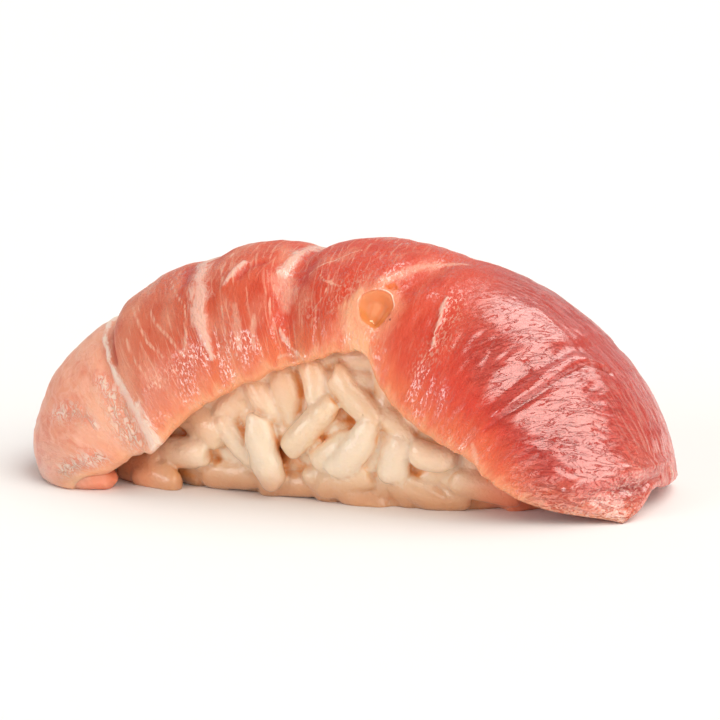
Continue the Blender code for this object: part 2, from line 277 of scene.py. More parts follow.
def flake_relief(station, across):
    """How far the flakes swell out of the smooth sheet, and the seams sink into it."""
    place = length_at(station)
    behind = np.clip((across + 0.35) / 0.5, 0, 1)
    height = np.zeros_like(place)
    for seam, drift, depth, width, kept in SEAMS:
        middle = length_at(seam + drift * np.minimum(1 + across, 1) ** 2)
        groove = np.exp(-(((place - middle) / width) ** 2))
        height -= depth * groove * (1 - (1 - kept) * behind)
    for swell, rise, width in SWELLS:
        height += rise * np.exp(-(((place - length_at(swell)) / width) ** 2))
    fade = np.clip((1 - np.abs(across)) / 0.25, 0, 1)
    return height * (0.35 + 0.65 * fade)


def slice_thickness(station, across):
    full = along(THICKNESS, station)
    edge = np.where(across < 0, FRONT_EDGE_THICKNESS, BACK_EDGE_THICKNESS)
    edge = np.minimum(edge, full)
    return edge + (full - edge) * (1 - np.abs(across) ** 2.6)


def ease(low, high, value):
    """0 below low, 1 above high, and smooth between them."""
    share = np.clip((value - low) / (high - low), 0, 1)
    return share * share * (3 - 2 * share)


def crowded(count, density):
    """Places from 0 to 1 that stand closer together where the density is higher, and at both ends."""
    even = np.linspace(0, 1, 2001)
    ends = 1.5 * np.exp(-np.minimum(even, 1 - even) / 0.012)
    total = np.cumsum(density(even) + ends)
    total = (total - total[0]) / (total[-1] - total[0])
    return np.interp(np.linspace(0, 1, count), total, even)


# Marks on the face, each a line of (mm along the crest from the left hem, mm across from the crest with the
# front negative, half width in mm).
WHITE_SINEWS = {
    "left seam": ((18.4, 22, 0.3), (18.5, 6, 0.35), (19.1, -5.9, 0.3), (19.9, -12.6, 0.35),
                  (20.1, -14.8, 0.6), (20.6, -17.9, 0.9), (20.9, -20.2, 1.1), (21.0, -22.6, 1.25),
                  (20.7, -23.6, 1.2)),
    "second seam": ((32.2, 14, 0.5), (32.4, -2.0, 0.9), (33.1, -6.5, 1.0), (33.5, -10.4, 1.45),
                    (33.3, -12.9, 1.2), (33.5, -15.3, 0.7), (33.7, -17.6, 0.2)),
    "flap": ((36.5, -9.8, 0.2), (37.5, -8.2, 0.5), (38.5, -6.4, 0.35)),
    "crown seam": ((43.4, 20, 0.4), (43.6, 2.3, 0.7), (43.5, -4.7, 0.6), (42.9, -7.5, 0.8)),
    "crown seam foot": ((42.9, -14.8, 0.12), (43.5, -16.5, 0.4), (44.6, -17.6, 0.3), (46.3, -18.6, 0.2)),
    "fleck": ((63.0, -8.4, 0.18), (63.2, -9.8, 0.42), (63.5, -11.0, 0.25), (63.7, -12.6, 0.12)),
    "second fleck": ((63.9, -13.0, 0.15), (64.3, -13.8, 0.35)),
    "right corner": ((93.6, 2.2, 0.3), (94.4, 2.6, 0.5)),
}
PALE_VEILS = {
    "crown seam": ((42.9, -7.8, 1.1), (43.9, -10.4, 1.8), (43.8, -12.6, 0.9)),
    "above the gap": ((61.7, 0.4, 0.4), (58.8, -3.9, 0.5), (57.6, -6.0, 0.6), (56.9, -7.7, 0.8),
                      (55.9, -9.6, 0.7)),
    "first oval": ((37.9, -12.4, 0.45), (37.8, -15.0, 0.75), (37.6, -17.0, 0.35)),
    "second oval": ((40.1, -13.8, 0.3), (39.8, -15.5, 0.5), (39.4, -17.4, 0.3)),
    # The left rim's veil is painted sheen, not tissue.
    "left rim sheen": ((1.0, -8.0, 3.0), (6.0, -5.0, 3.5), (11.0, -3.0, 3.5), (17.0, -1.0, 3.0)),
    "lower fleck": ((76.0, -20.4, 0.3), (77.4, -21.0, 0.5), (78.6, -21.5, 0.3)),
    "crown seam lip": ((42.3, -18.5, 0.2), (43.9, -18.2, 0.3), (45.4, -18.5, 0.2)),
}
PALE_TISSUE = ((53.9, -11.4, 0.35), (53.2, -13.2, 0.9), (54.0, -15.2, 1.3), (55.2, -16.8, 1.5),
               (55.8, -18.9, 1.6))
FAT_LINES = (
    ((24.4, -7.0, 0.12), (25.2, -10.4, 0.16), (25.9, -13.2, 0.14), (27.4, -15.6, 0.14)),
    ((26.6, -8.6, 0.12), (27.4, -11.4, 0.16), (28.9, -13.8, 0.18), (30.0, -16.4, 0.14)),
    ((31.6, -11.4, 0.12), (31.2, -14.2, 0.15), (30.0, -16.4, 0.14)),
    ((23.2, -11.2, 0.1), (23.7, -15.0, 0.13), (25.4, -18.4, 0.12)),
    ((29.0, -5.0, 0.1), (30.1, -8.0, 0.12), (31.7, -11.2, 0.12)),
    ((42.0, -11.6, 0.1), (42.2, -14.6, 0.14), (42.3, -17.0, 0.1)),
    ((36.3, -12.0, 0.1), (36.1, -14.4, 0.12), (37.0, -17.8, 0.1)),
    ((36.3, -3.4, 0.12), (35.8, -6.6, 0.14), (36.5, -9.6, 0.12)),
    ((47.6, -8.6, 0.08), (49.0, -10.2, 0.12), (51.6, -11.0, 0.08)),
    ((48.2, -13.6, 0.08), (49.4, -12.2, 0.12), (50.2, -9.8, 0.08)),
    ((46.4, -8.2, 0.1), (49.0, -7.0, 0.1), (51.6, -4.4, 0.08)),
)
RED_LINES = {
    "beside the flap": ((38.2, -8.8, 0.4), (39.0, -7.2, 0.55), (40.6, -6.2, 0.4)),
    "left of the second seam": ((31.0, -3.6, 0.8), (31.3, -7.2, 0.6)),
    "left seam": ((20.2, -6.0, 0.25), (20.6, -9.0, 0.35), (20.7, -12.4, 0.3)),
    "crown": ((46.4, -6.6, 1.0), (45.9, -9.4, 0.8)),
    "below the gap": ((58.0, -12.4, 0.12), (57.6, -14.0, 0.22), (57.0, -15.7, 0.2)),
    "right end": ((92.0, -8.4, 0.7), (93.6, -5.0, 0.8)),
}
CREASES = {
    "lower right": ((81.4, -2.4, 0.15), (79.2, -4.8, 0.3), (78.5, -8.5, 0.35), (78.0, -11.9, 0.35),
                    (77.1, -15.1, 0.35), (76.1, -18.3, 0.25)),
    "right end": ((91.8, -10.0, 0.35), (92.6, -7.6, 0.7), (93.9, -5.1, 0.6), (94.4, -1.0, 0.4)),
}
RIDGES = {
    "right end": ((89.0, -14.6, 0.7), (89.8, -11.0, 0.9), (90.6, -8.3, 0.9), (91.8, -3.6, 0.8),
                  (92.6, 1.0, 0.7)),
    "lower right": ((80.4, -3.0, 0.4), (78.0, -5.4, 0.8), (77.3, -8.8, 0.9), (76.8, -12.2, 0.8),
                    (75.8, -16.0, 0.6)),
}
WET_FOLDS = {
    "beside the left seam": ((17.9, -13.6, 0.9), (18.2, -17.5, 2.2), (17.2, -21.4, 3.2)),
    "left foot": ((3.0, -17.6, 1.2), (5.0, -19.0, 1.6), (8.0, -20.6, 1.4)),
    "middle of the left flake": ((9.6, -12.6, 1.3), (12.4, -15.4, 1.5), (12.8, -17.6, 0.9)),
}
WET_PATCHES = {
    "left of the gap": ((51.2, -12.9, 1.3), (53.6, -9.9, 1.3)),
    "tissue": ((54.2, -16.2, 1.1), (57.4, -16.2, 1.0)),
    "crown": ((46.4, -12.6, 1.3), (48.8, -14.8, 1.0)),
    "right of the fleck": ((64.2, -8.6, 1.2), (65.0, -13.0, 1.4), (63.8, -16.8, 1.2)),
    "second flake": ((24.6, -17.6, 0.9), (30.0, -17.2, 0.9), (35.0, -16.6, 1.0), (38.8, -16.4, 0.8)),
}
GAP_CORNERS = ((54.1, -13.0), (54.2, -11.7), (55.7, -10.7), (57.2, -10.2), (58.1, -11.4), (57.7, -13.7),
               (57.0, -14.9), (54.9, -14.5))
GAP_DEPTH = 1.25
CORNER_SHARPNESS = 7.0
SMALL_GAP = ((56.5, -9.85, 0.28), (57.1, -9.15, 0.42))
SMALL_GAP_DEPTH = 0.5
# A painted glint on the floor of the gap.
GAP_GLINT = ((55.6, -13.95, 0.10), (55.9, -13.75, 0.16), (56.3, -13.9, 0.10))
DARK_DOT = ((58.15, -13.0, 0.17), (58.2, -13.1, 0.17))
FAR_OFF = -2.0


def nearness(place, reach, lines):
    """1 on these lines of points with their own half widths, 0 a half width away, and down to -2 beyond."""
    best = np.full_like(place, FAR_OFF)
    for line in lines:
        for (u0, v0, w0), (u1, v1, w1) in zip(line, line[1:]):
            run = np.array([u1 - u0, v1 - v0])
            share = ((place - u0) * run[0] + (reach - v0) * run[1]) / (run @ run)
            share = np.clip(share, 0, 1)
            off = np.hypot(place - u0 - share * run[0], reach - v0 - share * run[1])
            best = np.maximum(best, 1 - off / (w0 + share * (w1 - w0)))
    return best


def bank(near):
    """A smooth bank over a line, 1 at its middle."""
    return np.exp(-((1 - near) ** 2))


def outside_distance(place, reach, corners):
    """Distance to a convex outline with rounded corners in mm, negative inside it."""
    centre = np.mean(corners, axis=0)
    total = np.zeros_like(place)
    for start, end in zip(corners, corners[1:] + corners[:1]):
        run = np.array(end) - np.array(start)
        out = np.array([run[1], -run[0]]) / np.hypot(*run)
        if out @ (centre - np.array(start)) > 0:
            out = -out
        distance = (place - start[0]) * out[0] + (reach - start[1]) * out[1]
        total += np.exp(CORNER_SHARPNESS * np.minimum(distance, 9))
    return np.log(total) / CORNER_SHARPNESS


def lumps(place, reach, size, stretch=1.0, layer=0.0, turn=0.0):
    """Smooth noise of about -1 to 1 on the face, its lumps this many mm wide and drawn out this many times.

    They are drawn out along the fibres, across the slice, or turned from there by this angle in degrees.
    """
    angle = math.radians(turn)
    over = place * math.cos(angle) + reach * math.sin(angle)
    along_it = reach * math.cos(angle) - place * math.sin(angle)
    flat = zip((over / size).ravel(), (along_it / size / stretch).ravel())
    found = [noise.noise((u, v, layer)) for u, v in flat]
    return np.array(found).reshape(place.shape)


def wrinkles(place, reach, size, stretch, layer, turn):
    """Noise folded at its middle, which leaves thin valleys between rounded ridges, from -1 to about 1."""
    return 2.6 * np.abs(lumps(place, reach, size, stretch, layer, turn)) - 1


def apply_modifier(piece, name, kind, **settings):
    """Gives the active piece a modifier with these settings, and applies it."""
    modifier = piece.modifiers.new(name, kind)
    for key, value in settings.items():
        setattr(modifier, key, value)
    bpy.ops.object.modifier_apply(modifier=modifier.name)


def set_points(piece, points):
    """Moves a piece's points to these places in mm."""
    piece.data.vertices.foreach_set("co", (points * MM).astype(np.float32).ravel())


def store_mask(piece, name, values):
    """Keeps a value for each point, for the material to read."""
    attribute = piece.data.attributes.new(name, "FLOAT", "POINT")
    attribute.data.foreach_set("value", values.astype(np.float32))


def store_map(piece, spread):
    """Keeps each point's mm along and across the face, so that a pattern's scale is a real size."""
    corner_points = np.empty(len(piece.data.loops), np.int32)
    piece.data.loops.foreach_get("vertex_index", corner_points)
    face_map = piece.data.uv_layers[0]
    face_map.name = "face_mm"
    face_map.data.foreach_set("uv", spread[corner_points].astype(np.float32).ravel())


# A flat grid, given its lower face here; every point of both faces is placed below.
bpy.ops.mesh.primitive_grid_add(
    x_subdivisions=SLICE_ROWS - 1, y_subdivisions=SLICE_COLUMNS - 1, size=2, location=(0, 0, 0)
)
tuna = bpy.context.object
tuna.name = "tuna_flesh"
flat = np.array([vertex.co[:] for vertex in tuna.data.vertices])
row = np.round((flat[:, 0] + 1) / 2 * (SLICE_ROWS - 1)).astype(int)
column = np.round((flat[:, 1] + 1) / 2 * (SLICE_COLUMNS - 1)).astype(int)
apply_modifier(tuna, "thickness", "SOLIDIFY", thickness=0.1)

# Every grid point's station and share across, and its distances along and across the face in mm.
# The grid is finest where the face is crinkled, and over the front.
places = crowded(SLICE_ROWS, lambda even: 1 + 0.5 * ease(0.52, 0.66, even)) * SLICE_LENGTH
shares = crowded(SLICE_COLUMNS, lambda even: 1.7 - 0.8 * ease(0.5, 0.62, even)) * 2 - 1
stations = np.interp(places, CREST_LENGTHS, CREST_STATIONS)
station, across = np.meshgrid(stations, shares, indexing="ij")
place = np.repeat(places[:, None], SLICE_COLUMNS, axis=1)
smooth = smooth_sheet(station, across)
normals = sheet_normals(station, across)
steps = np.linalg.norm(np.diff(smooth, axis=1), axis=2)
walked = np.concatenate([np.zeros((SLICE_ROWS, 1)), np.cumsum(steps, axis=1)], axis=1)
crest_column = np.argmin(np.abs(across[0]))
reach = walked - walked[:, crest_column : crest_column + 1]
front_gap = walked
back_gap = walked[:, -1:] - walked

# Lumps of the face: height in mm, how much less it is in the crinkles, size, stretch and layer.
LUMPS = ((0.28, 0.14, 5.0, 1.5, 1.0), (0.11, 0.075, 1.9, 2.2, 2.0), (0.08, 0.05, 0.8, 3.0, 12.0))
CRINKLE_HEIGHT = 0.05
FOLD_HEIGHT = 0.17
SINEW_HEIGHT = 0.30
RIDGE_HEIGHT = 0.40
TISSUE_HEIGHT = 0.15
RED_LINE_DEPTH = 0.25
CREASE_DEPTH = 0.28
GAP_RIM_HEIGHT = 0.07
BOARD_GAP = 0.02

# Each mark's mask: how near its lines are, or a smooth bank over them.
LINES = {
    "sinew": WHITE_SINEWS.values(), "veil": PALE_VEILS.values(), "fat_line": FAT_LINES,
    "tissue": [PALE_TISSUE], "small_gap": [SMALL_GAP], "gap_glint": [GAP_GLINT], "dark_dot": [DARK_DOT],
}
BANKS = {
    "red_line": RED_LINES.values(), "left_fold": WET_FOLDS.values(), "wet_patch": WET_PATCHES.values(),
    "crease": CREASES.values(), "ridge": RIDGES.values(),
}
masks = {name: nearness(place, reach, lines) for name, lines in LINES.items()}
for name, lines in BANKS.items():
    masks[name] = bank(nearness(place, reach, lines))
ridge = masks.pop("ridge")
gap_distance = outside_distance(place, reach, GAP_CORNERS)
crinkled = ease(60, 70, place + 0.2 * reach) * ease(-19.5, -13, reach + 0.25 * (place - 76))
masks["gap"] = np.clip(gap_distance, -2, 3)
masks["crinkled"] = crinkled
masks["edge"] = np.clip(front_gap, 0, 20)

# The height that the flakes, the lumps and the marks add to the face.
body = ease(0, 3.0, np.minimum(front_gap, back_gap))
height = flake_relief(station, across)
for rise, drop, size, stretch, layer in LUMPS:
    height += (rise - drop * crinkled) * lumps(place, reach, size, stretch, layer) * body
sideways = wrinkles(place, reach, 0.95, 3.0, 5.0, -36)
lengthways = wrinkles(place, reach, 1.0, 3.5, 15.0, 82)
behind = ease(-7, -1, reach)
height += CRINKLE_HEIGHT * crinkled * (sideways * (1 - behind) + lengthways * behind)
height += FOLD_HEIGHT * masks["left_fold"] * wrinkles(place, reach, 0.9, 2.2, 6.0, -25)
tissue_height = TISSUE_HEIGHT * bank(masks["tissue"]) * body
height += SINEW_HEIGHT * bank(masks["sinew"]) + RIDGE_HEIGHT * ridge + tissue_height
height -= RED_LINE_DEPTH * masks["red_line"] + CREASE_DEPTH * masks["crease"]
small_depth = SMALL_GAP_DEPTH * ease(0.0, 0.7, masks["small_gap"])
height -= GAP_DEPTH * (1 - ease(-0.75, 0.0, gap_distance)) + small_depth
height += GAP_RIM_HEIGHT * np.exp(-(((gap_distance - 0.25) / 0.3) ** 2))
height *= ease(-0.2, 1.5, np.minimum(front_gap, back_gap) + 0.4)

hem_gap = np.minimum(place, SLICE_LENGTH - place)
edge_gap = np.minimum(np.minimum(front_gap, back_gap), hem_gap)
rounding = EDGE_ROUNDING * (1 - np.sqrt(1 - np.clip(1 - edge_gap / EDGE_ROUNDING, 0, 1) ** 2))
thickness = slice_thickness(station, across)
upper = smooth + normals * (height - rounding)[..., None]
lower = smooth - normals * (thickness - rounding)[..., None]

# The front edge wanders a little, and the right hem is notched where the end is lifted off the board.
EDGE_WANDER = 0.4
NOTCH = {"reach": -3.0, "half": 2.6, "lift": 1.4, "depth": 5.0, "lift_behind": 0.7}
wander = EDGE_WANDER * lumps(place, place * 0, 2.2, 1.0, 9.0) * np.exp(-((front_gap / 2.5) ** 2))
notch = NOTCH["lift"] * np.exp(-(((reach - NOTCH["reach"]) / NOTCH["half"]) ** 2))
notch += NOTCH["lift_behind"] * ease(NOTCH["reach"], NOTCH["reach"] + 3, reach)
notch *= ease(SLICE_LENGTH - NOTCH["depth"], SLICE_LENGTH, place)
for face in (upper, lower):
    face[..., 2] += wander * ease(1.5, 4.0, face[..., 2]) + notch
    face[..., 2] = np.maximum(face[..., 2], BOARD_GAP)
set_points(tuna, np.concatenate([upper[row, column], lower[row, column]]))
tuna.data.shade_smooth()

# The masks go to the mesh for the material to read, the same on both faces.
for name, mask in masks.items():
    store_mask(tuna, name, np.concatenate([mask[row, column]] * 2))
spread = np.stack([place[row, column], reach[row, column]], axis=-1)
store_map(tuna, np.concatenate([spread, spread]))


# The tongue: the slice's under layer, which is turned in below the lip of the left foot.
TONGUE_CENTRE = np.array((-24.3, -13.1, 1.0))
TONGUE_HALF = np.array((3.1, 2.2, 1.3))
TONGUE_BLUNTNESS = 0.85
TONGUE_DENT = 0.10
TONGUE_ON_MAP = (28.0, -10.0)

# What the masks say on the tongue; all the others say far off.
TONGUE_MASKS = {
    "edge": 2.2, "gap": 3.0, "red_line": 0.25, "crinkled": 0.0, "crease": 0.0, "left_fold": 0.0,
    "wet_patch": 0.0,
}
bpy.ops.object.select_all(action="DESELECT")
bpy.ops.mesh.primitive_ico_sphere_add(subdivisions=4, radius=1.0, location=(0, 0, 0))
tongue = bpy.context.object
ball = np.array([vertex.co[:] for vertex in tongue.data.vertices])
blunt = np.sign(ball) * np.abs(ball) ** TONGUE_BLUNTNESS
dents = np.array([noise.noise(Vector(point) * 2.2) for point in blunt * (1.5, 1.0, 1.0)])
tongue_points = TONGUE_CENTRE + blunt * TONGUE_HALF * (1 + TONGUE_DENT * dents[:, None])
tongue_points[:, 2] = np.maximum(tongue_points[:, 2], BOARD_GAP)
set_points(tongue, tongue_points)
tongue.data.shade_smooth()
for name in masks:
    store_mask(tongue, name, np.full(len(ball), TONGUE_MASKS.get(name, FAR_OFF)))
store_map(tongue, tongue_points[:, (0, 2)] + TONGUE_ON_MAP)
tuna.select_set(True)
bpy.context.view_layer.objects.active = tuna
bpy.ops.object.join()


def node_tools(material):
    """Functions that add this material's maths, range and mix nodes and hand on what comes out of them."""

    def calculate(operation, first, second=0.0):
        node = add_node(material, "Math", {0: first, 1: second}, operation=operation)
        return node.outputs["Value"]

    def times(first, second):
        return calculate("MULTIPLY", first, second)

    def ramp(value, low, high, out_low=0.0, out_high=1.0):
        node = add_node(
            material, "MapRange",
            {"Value": value, "From Min": low, "From Max": high, "To Min": out_low, "To Max": out_high},
            interpolation_type="SMOOTHSTEP",
        )
        return node.outputs["Result"]

    def mix(amount, first, second, blend="MIX"):
        node = add_node(
            material, "Mix", {"Factor": amount, 6: first, 7: second},
            data_type="RGBA", blend_type=blend,
        )
        return node.outputs[2]

    return calculate, times, ramp, mix


def read_masks(material, names):
    """The outputs of the nodes that read these masks from the mesh."""
    return {
        name: add_node(material, "Attribute", attribute_name=name).outputs["Fac"] for name in names
    }


def raw_tuna():
    """Raw fatty tuna, cut with a knife: moist, half see-through flesh whose fibres run across the slice.

    Light goes in and comes out softened, the cut face is wet enough for small glints, and the fat makes the
    left end pale while the lean right end is deep red.
    """
    material, shader = new_material("raw_fatty_tuna")
    calculate, times, ramp, mix = node_tools(material)
    mask = read_masks(material, masks)
    face = add_node(material, "UVMap", uv_map="face_mm").outputs["UV"]
    split = add_node(material, "SeparateXYZ", {"Vector": face})
    place_mm = split.outputs["X"]
    reach_mm = split.outputs["Y"]

    def pattern(size, detail, roughness=0.5, distortion=0.0, turn=0.0, offset=0.0):
        """Noise on the face, its lumps this many mm wide along and across the slice, turned by degrees."""
        placed = add_node(
            material, "Mapping",
            {"Vector": face, "Rotation": (0, 0, math.radians(turn)), "Scale": (*size, 1),
             "Location": (offset, offset, 0)},
            vector_type="TEXTURE",
        )
        found = add_node(
            material, "TexNoise",
            {"Vector": placed.outputs["Vector"], "Scale": 1.0, "Detail": detail, "Roughness": roughness,
             "Distortion": distortion},
            noise_dimensions="2D",
        )
        return found.outputs["Fac"]

    def folded(value, width):
        """Thin valleys where the noise passes its middle: 0 in them and 1 outside."""
        return ramp(calculate("ABSOLUTE", calculate("SUBTRACT", value, 0.5)), 0.0, width)

    def tinted(flesh, amount, share, code):
        """The flesh with this share of another colour where the amount is 1."""
        return mix(times(amount, share), flesh, colour(code))

    # Colour from hem to hem: pale and fatty at the left, lean and red at the right.
    share = calculate("DIVIDE", place_mm, float(SLICE_LENGTH))
    wobble = times(calculate("SUBTRACT", pattern((8.0, 9.0), 2), 0.5), 0.08)
    share = calculate("ADD", share, wobble)
    spectrum = add_node(material, "ValToRGB", {"Fac": share})
    stops = (
        (0.00, "#ecc4b8"), (0.07, "#f09c7f"), (0.19, "#f6ad8f"), (0.22, "#e08668"), (0.32, "#d96243"),
        (0.36, "#da6243"), (0.44, "#da583b"), (0.47, "#db5036"), (0.56, "#d64a30"), (0.62, "#d65037"),
        (0.68, "#d84b35"), (0.78, "#da4432"), (0.90, "#db4435"), (1.00, "#ef6a54"),
    )
    while len(spectrum.color_ramp.elements) < len(stops):
        spectrum.color_ramp.elements.new(0.5)
    for element, (position, _) in zip(spectrum.color_ramp.elements, stops):
        element.position = position
    for element, (_, code) in zip(spectrum.color_ramp.elements, stops):
        element.color = colour(code)
    flesh = spectrum.outputs["Color"]

    # Cloudy marbling a few mm wide, deeper patches, then pale fibres under half a mm apart.
    fibrous = ramp(share, 0.66, 0.52, 0.15, 1.0)
    cloud = ramp(pattern((3.4, 6.0), 3, offset=7.0), 0.46, 0.72)
    flesh = mix(times(cloud, times(fibrous, 0.34)), flesh, colour("#f2ab8c"))
    deep = ramp(pattern((2.8, 4.6), 3, offset=31.0), 0.5, 0.7)
    flesh = mix(times(deep, 0.30), flesh, colour("#e07a68"), "MULTIPLY")
    fibre = ramp(pattern((0.42, 4.5), 4, 0.6, 0.5, 7), 0.54, 0.72)
    flesh = mix(times(fibre, times(fibrous, 0.42)), flesh, colour("#f9c0a4"))
    fatty = ramp(place_mm, 21.0, 16.0)
    mottled = ramp(pattern((1.3, 2.0), 4, 0.65, 0.8, -30, 71.0), 0.40, 0.66)
    flesh = mix(times(mottled, times(fatty, 0.45)), flesh, colour("#ffc6ae"))
    flushed = ramp(pattern((2.4, 1.2), 4, 0.6, 1.0, 25, 83.0), 0.54, 0.72)
    flesh = mix(times(flushed, times(fatty, 0.40)), flesh, colour("#e07f6c"))
    second_fibre = ramp(pattern((0.5, 5.0), 3, 0.6, 0.4, -16, 41.0), 0.58, 0.74)
    flesh = mix(times(second_fibre, times(fibrous, 0.25)), flesh, colour("#f7b497"))

    # The flesh thins to its front edge, and the light that comes through it from the rice is painted on:
    # orange, then cream.
    edge = calculate("ADD", mask["edge"], times(calculate("SUBTRACT", pattern((1.2, 3.0), 3), 0.5), 2.4))
    flesh = tinted(flesh, ramp(edge, 5.5, 0.5), 0.56, "#f58c5a")
    flesh = tinted(flesh, ramp(edge, 1.8, 0.0), 0.5, "#f8bd90")
    flesh = tinted(flesh, mask["red_line"], 0.6, "#c23c35")
    # Painted shade darkens the creases.
    flesh = tinted(flesh, mask["crease"], 0.3, "#b03a30")

    # The crinkles: thin wavy valleys, painted deeper red as shade where the shine breaks, nearly level at the
    # front and along the slice behind its crest.
    sideways = folded(pattern((2.6, 0.72), 4, 0.6, 1.0, 54, 5.0), 0.05)
    lengthways = folded(pattern((3.6, 0.50), 3, 0.6, 0.6, 8, 5.0), 0.08)
    behind = ramp(reach_mm, -7.0, -1.0)
    crinkle = add_node(material, "Mix", {"Factor": behind, 2: sideways, 3: lengthways}).outputs[0]
    finer = folded(pattern((0.9, 0.38), 3, 0.6, 1.0, 50, 17.0), 0.055)
    ridges = times(crinkle, ramp(finer, 0.0, 1.0, 0.62, 1.0))
    shaded_valleys = times(calculate("SUBTRACT", 1.0, ridges), mask["crinkled"])
    flesh = tinted(flesh, shaded_valleys, 0.66, "#ae2c24")
    # Painted sheen: fine pale streaks along the slice at the far right, where light from behind catches the
    # face.
    far_right = times(ramp(place_mm, 76.0, 86.0), ramp(reach_mm, -9.0, -4.0))
    sheen_streaks = times(ramp(pattern((3.2, 0.42), 3, 0.6, 0.4, 8, 37.0), 0.50, 0.60), far_right)
    flesh = tinted(flesh, sheen_streaks, 0.36, "#f3aa98")

    # Fat and sinew: ragged white bands, soft veils, and hair lines of fat.
    ragged = calculate("SUBTRACT", pattern((0.9, 2.2), 4, 0.65, 0.6), 0.5)

    def frayed(name, raggedness, low, high):
        return ramp(calculate("ADD", mask[name], times(ragged, raggedness)), low, high)

    white = frayed("sinew", 2.8, -0.25, 0.75)
    veiled = frayed("veil", 2.0, -0.3, 1.0)
    creamy = frayed("tissue", 1.6, -0.9, 0.9)
    hair = frayed("fat_line", 3.0, -0.8, 0.8)
    # The veils are pale tissue, except at the left rim, where the veil is painted sheen.
    flesh = tinted(flesh, veiled, 0.5, "#f6c2a8")
    # Painted light brightens the lower front of the left flake, near the left seam.
    painted_light_lip = times(ramp(place_mm, 23.0, 19.5), ramp(reach_mm, -12.5, -18.0))
    painted_light_lip = times(painted_light_lip, ramp(place_mm, 8.0, 15.0, 0.3, 1.0))
    flesh = tinted(flesh, painted_light_lip, 0.6, "#ffc3a2")
    flesh = tinted(flesh, creamy, 0.72, "#fac094")
    flesh = tinted(flesh, hair, 0.55, "#fbcdb2")
    whiter = ramp(place_mm, 24.0, 30.0, 0.92, 0.66)
    sinew_colour = mix(ramp(place_mm, 24.0, 30.0), colour("#ffe4d4"), colour("#f8d2c0"))
    flesh = mix(times(white, whiter), flesh, sinew_colour)

    # The gap torn over the rice: an amber floor, darker below, with a bright thin lip at its top and right.
    floor_of_gap = ramp(mask["gap"], 0.02, -0.15)
    flesh = tinted(flesh, ramp(mask["gap"], 1.9, 0.0), 0.6, "#f6a883")
    calm = calculate("SUBTRACT", 1.0, floor_of_gap)
    small_floor = ramp(mask["small_gap"], 0.0, 0.25)
    lip = ramp(calculate("ABSOLUTE", calculate("SUBTRACT", mask["gap"], 0.05)), 0.10, 0.02)
    lip = times(lip, ramp(reach_mm, -12.4, -10.8))
    lip = times(lip, ramp(place_mm, 55.4, 57.2, 0.1, 0.85))
    flesh = mix(floor_of_gap, flesh, colour("#e5905e"))
    lower = times(floor_of_gap, ramp(reach_mm, -12.7, -13.5))
    flesh = tinted(flesh, lower, 0.7, "#d97f3c")
    # A painted glint on the floor of the gap.
    flesh = mix(ramp(mask["gap_glint"], 0.0, 0.5), flesh, colour("#ffdfb4"))
    flesh = mix(small_floor, flesh, colour("#e97e48"))
    flesh = mix(lip, flesh, colour("#ffe4cf"))
    flesh = tinted(flesh, ramp(mask["dark_dot"], 0.0, 0.5), 0.8, "#7a2c1e")

    # Painted glints: pale specks on the wet patches and on the end face, and pale lines on the folds at the
    # left, whose zone is tinted pinker.
    specks = ramp(pattern((0.26, 0.50), 2, 0.6, 0.5, 5, 61.0), 0.50, 0.62)
    wet_folds = folded(pattern((0.75, 1.3), 3, 0.6, 0.9, -28, 29.0), 0.13)
    painted_glints = times(times(specks, mask["wet_patch"]), calm)
    flesh = tinted(flesh, painted_glints, 0.38, "#ffc6a8")
    fold_glints = times(wet_folds, mask["left_fold"])
    flesh = tinted(flesh, mask["left_fold"], 0.55, "#fb8f76")
    flesh = tinted(flesh, fold_glints, 0.85, "#ffe2d0")
    # Painted glints on the end face.
    end_face = times(ramp(place_mm, 89.0, 92.5), ramp(reach_mm, -3.0, -7.0))
    flesh = mix(times(specks, times(end_face, 0.6)), flesh, colour("#f9bfae"))

    # The relief of the wet face: pores half a mm wide, fibres, and the crinkles of the lean end.
    clustered = ramp(pattern((5.0, 6.0), 2, offset=53.0), 0.40, 0.60, 0.3, 1.0)
    pores = pattern((0.40, 0.55), 3, 0.6, 0.4, offset=3.0)
    fine_fibres = pattern((0.30, 1.6), 3, 0.6, 0.5, 7, 13.0)
    relief = times(pores, 0.8)
    for layer in (
        times(fine_fibres, 0.5), times(times(ridges, 0.5), mask["crinkled"]),
        times(times(wet_folds, 0.55), mask["left_fold"]), times(white, 0.25), times(hair, 0.2),
    ):
        relief = calculate("ADD", relief, layer)
    relief = times(relief, calm)
    far_left = times(ramp(place_mm, 26.0, 12.0), ramp(reach_mm, -17.0, -9.0))
    relief = times(relief, calculate("SUBTRACT", 1.0, times(far_left, 0.6)))
    bump = add_node(
        material, "Bump", {"Height": relief, "Strength": 1.0, "Distance": 0.18 * MM}
    )
    dull = ramp(pattern((2.0, 2.5), 3, offset=23.0), 0.35, 0.7, 0.40, 0.55)

    # The film of water and oil lies in specks between the fibres, and all over the crinkles but not in them.
    wettest = calculate("MAXIMUM", times(clustered, 0.8), times(mask["wet_patch"], 0.4))
    specks = times(specks, wettest)
    specks = times(specks, ramp(place_mm, 17.0, 27.0, 0.12, 1.0))
    specks = calculate("MAXIMUM", specks, times(fold_glints, 0.12))
    film = add_node(material, "Mix", {"Factor": mask["crinkled"], 2: times(specks, 0.9), 3: ridges})
    film = times(film.outputs[0], calm)
    fill_inputs(
        material, shader,
        {
            "Base Color": flesh, "Normal": bump.outputs["Normal"], "Roughness": dull, "IOR": 1.42,
            "Specular IOR Level": 0.3, "Subsurface Weight": 0.35, "Subsurface Radius": (1.0, 0.38, 0.22),
            "Subsurface Scale": 2.2 * MM, "Coat Weight": ramp(film, 0.0, 1.0, 0.06, 1.0), "Coat IOR": 2.3,
            "Coat Roughness": 0.2,
        },
    )
    return material


tuna.data.materials.clear()
tuna.data.materials.append(raw_tuna())
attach(tuna, "root")
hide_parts("tuna_slice")


